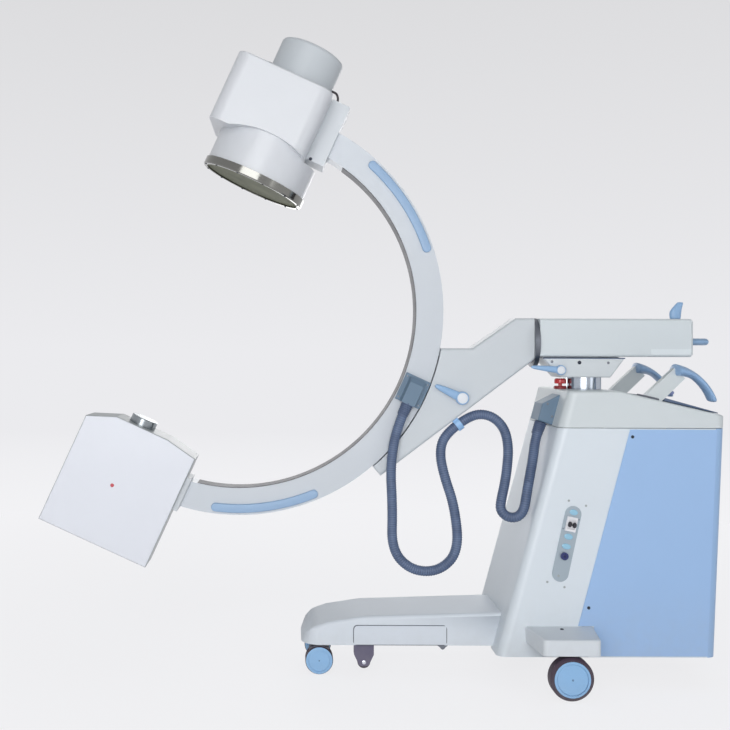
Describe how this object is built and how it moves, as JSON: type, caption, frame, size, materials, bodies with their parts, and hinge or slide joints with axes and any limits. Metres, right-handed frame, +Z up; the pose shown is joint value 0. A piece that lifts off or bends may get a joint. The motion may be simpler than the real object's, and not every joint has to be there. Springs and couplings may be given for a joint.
{
  "type": "mobile c-arm x-ray unit",
  "caption": "Mobile C-arm X-ray unit: wheeled cabinet with keel, lifting column, sliding boom and a C-shaped arc holding an image intensifier and tube head.",
  "frame": {"origin": "centre of the object's plan on the floor, without its hoses", "axes": "+X from the C towards the push handles, +Y to the object's far side, +Z up"},
  "size_m": [2.0178, 0.696, 1.9],
  "materials": {
    "white_enamel": "satin light grey white enamel",
    "white_casting": "satin white paint on cast aluminium",
    "white_plastic": "fine grained white moulding",
    "grey_extrusion": "satin light grey painted extrusion",
    "light_blue": "satin light blue moulding",
    "grey_blue": "matte grey blue moulding",
    "hose_grey": "ribbed grey blue hose",
    "dark_liner": "matte dark grey strip",
    "dark_keypad": "smooth dark panel",
    "black_plastic": "matte black",
    "chrome_ring": "polished chrome",
    "steel": "brushed steel",
    "column_chrome": "ground chromed tube",
    "aluminium": "bare aluminium",
    "screen": "dark olive input screen",
    "tyre": "dark tread",
    "stop_red": "glossy red",
    "socket_blue": "dark blue moulding"
  },
  "bodies": {
    "base": {"base_frame": "steel", "keel_cover": "white_plastic", "keel_hatches": "white_plastic", "cabinet_shell": "white_enamel", "cabinet_top": "white_plastic", "side_panels": "light_blue", "control_surface": "dark_keypad", "control_plate": "aluminium", "breaker_body": "white_plastic", "earth_socket": "socket_blue", "axle_blocks": "white_plastic", "handle_arms": "white_casting", "handle_grips": "light_blue", "column_sleeve": "steel", "generator_block": "aluminium", "stop_button_base": "black_plastic", "cabinet_gland": "grey_blue", "roller_brackets": "black_plastic", "hose_rear": "hose_grey"},
    "rear_wheel_left": {"rear_tyre_left": "tyre", "rear_hub_left": "light_blue"},
    "rear_wheel_right": {"rear_tyre_right": "tyre", "rear_hub_right": "light_blue"},
    "caster_left": {"caster_core_left": "black_plastic"},
    "caster_right": {"caster_core_right": "black_plastic"},
    "caster_wheels_left": {"caster_tyres_left": "tyre", "caster_hubs_left": "light_blue"},
    "caster_wheels_right": {"caster_tyres_right": "tyre", "caster_hubs_right": "light_blue"},
    "cable_roller": {"support_roller": "tyre"},
    "stop_knob": {"stop_button": "stop_red"},
    "breaker": {"breaker_toggles": "black_plastic"},
    "handle_switch": {"handle_button": "light_blue"},
    "lift": {"column_piston": "column_chrome"},
    "swivel": {"carriage": "white_casting"},
    "swivel_brake": {"swivel_lever": "light_blue"},
    "boom": {"boom_housing": "white_casting"},
    "travel_brake": {"travel_lever": "light_blue"},
    "rotation_brake": {"rotation_handle": "light_blue"},
    "arm": {"rotation_shaft": "steel", "slanted_arm": "white_casting", "roller_holder": "aluminium", "hose_clip": "light_blue", "hose_front": "hose_grey"},
    "orbit_brake": {"orbit_lever": "light_blue"},
    "bogie_upper": {"bogie_roller_upper": "steel"},
    "bogie_lower": {"bogie_roller_lower": "steel"},
    "c_assembly": {"c_arc": "grey_extrusion", "c_liner": "dark_liner", "c_grips": "light_blue", "c_gland": "grey_blue", "intensifier_mount": "white_casting", "intensifier_ring": "chrome_ring", "intensifier_window": "screen", "intensifier_housing": "white_enamel", "camera_cap": "white_plastic", "camera_cables": "black_plastic", "tube_housing": "white_enamel", "tube_mount": "steel", "collimator": "chrome_ring"}
  },
  "joints": [
    {"name": "rear_wheel_left_spin", "type": "hinge", "parent": "base", "child": "rear_wheel_left", "pos_m": [0.51295, -0.324, 0.06], "axis": [0, 1, 0], "continuous": true},
    {"name": "caster_left_swivel", "type": "hinge", "parent": "base", "child": "caster_left", "pos_m": [-0.15405, -0.088, 0.1], "axis": [0, 0, 1], "continuous": true},
    {"name": "caster_left_roll", "type": "hinge", "parent": "caster_left", "child": "caster_wheels_left", "pos_m": [-0.17005, -0.088, 0.041], "axis": [0, 1, 0], "continuous": true},
    {"name": "rear_wheel_right_spin", "type": "hinge", "parent": "base", "child": "rear_wheel_right", "pos_m": [0.51295, 0.324, 0.06], "axis": [0, 1, 0], "continuous": true},
    {"name": "caster_right_swivel", "type": "hinge", "parent": "base", "child": "caster_right", "pos_m": [-0.15405, 0.088, 0.1], "axis": [0, 0, 1], "continuous": true},
    {"name": "caster_right_roll", "type": "hinge", "parent": "caster_right", "child": "caster_wheels_right", "pos_m": [-0.17005, 0.088, 0.041], "axis": [0, 1, 0], "continuous": true},
    {"name": "cable_roller_spin", "type": "hinge", "parent": "base", "child": "cable_roller", "pos_m": [-0.03805, 0, 0.035], "axis": [0, 1, 0], "continuous": true},
    {"name": "stop_press", "type": "slide", "parent": "base", "child": "stop_knob", "axis": [0, 0, -1], "range_m": [0, 0.006], "stiffness_N_per_m": 600},
    {"name": "breaker_switch", "type": "hinge", "parent": "base", "child": "breaker", "pos_m": [0.54501, -0.207, 0.46073], "axis": [0.9781, 0, -0.2079], "range_deg": [-22, 22]},
    {"name": "handle_switch_press", "type": "slide", "parent": "base", "child": "handle_switch", "axis": [-0.6969, 0, 0.7172], "range_m": [0, 0.003], "stiffness_N_per_m": 400},
    {"name": "column_lift", "type": "slide", "parent": "base", "child": "lift", "axis": [0, 0, 1], "range_m": [0, 0.4], "deforming": ["hose_rear"]},
    {"name": "column_swivel", "type": "hinge", "parent": "lift", "child": "swivel", "pos_m": [0.63595, 0, 0.9], "axis": [0, 0, 1], "range_deg": [-12.5, 12.5], "deforming": ["hose_rear"]},
    {"name": "swivel_brake_turn", "type": "hinge", "parent": "swivel", "child": "swivel_brake", "pos_m": [0.54695, -0.06, 0.898], "axis": [0, 1, 0], "range_deg": [-25, 10]},
    {"name": "boom_travel", "type": "slide", "parent": "swivel", "child": "boom", "axis": [-1, 0, 0], "range_m": [0, 0.2], "deforming": ["hose_rear"]},
    {"name": "travel_brake_turn", "type": "hinge", "parent": "boom", "child": "travel_brake", "pos_m": [0.91395, 0, 1.052], "axis": [0, 0, 1], "range_deg": [-35, 35]},
    {"name": "rotation_brake_turn", "type": "hinge", "parent": "boom", "child": "rotation_brake", "pos_m": [0.94595, 0, 0.984], "axis": [1, 0, 0], "range_deg": [-45, 45]},
    {"name": "arm_rotation", "type": "hinge", "parent": "boom", "child": "arm", "pos_m": [0.48795, 0, 0.98], "axis": [1, 0, 0], "range_deg": [-135, 135], "deforming": ["hose_rear"]},
    {"name": "orbit_brake_turn", "type": "hinge", "parent": "arm", "child": "orbit_brake", "pos_m": [0.25595, -0.05, 0.813], "axis": [0, 1, 0], "range_deg": [-30, 30]},
    {"name": "c_orbit", "type": "hinge", "parent": "arm", "child": "c_assembly", "pos_m": [-0.41205, 0, 1.072], "axis": [0, 1, 0], "range_deg": [-50, 65], "deforming": ["hose_front"]},
    {"name": "bogie_upper_spin", "type": "hinge", "parent": "arm", "child": "bogie_upper", "pos_m": [0.15695, 0, 0.89804], "axis": [0, 1, 0], "continuous": true},
    {"name": "bogie_lower_spin", "type": "hinge", "parent": "arm", "child": "bogie_lower", "pos_m": [0.03012, 0, 0.67387], "axis": [0, 1, 0], "continuous": true}
  ],
  "couplings": [
    {"joint": "bogie_upper_spin", "follows": "c_orbit", "ratio": 47.132},
    {"joint": "bogie_lower_spin", "follows": "c_orbit", "ratio": 47.132}
  ]
}
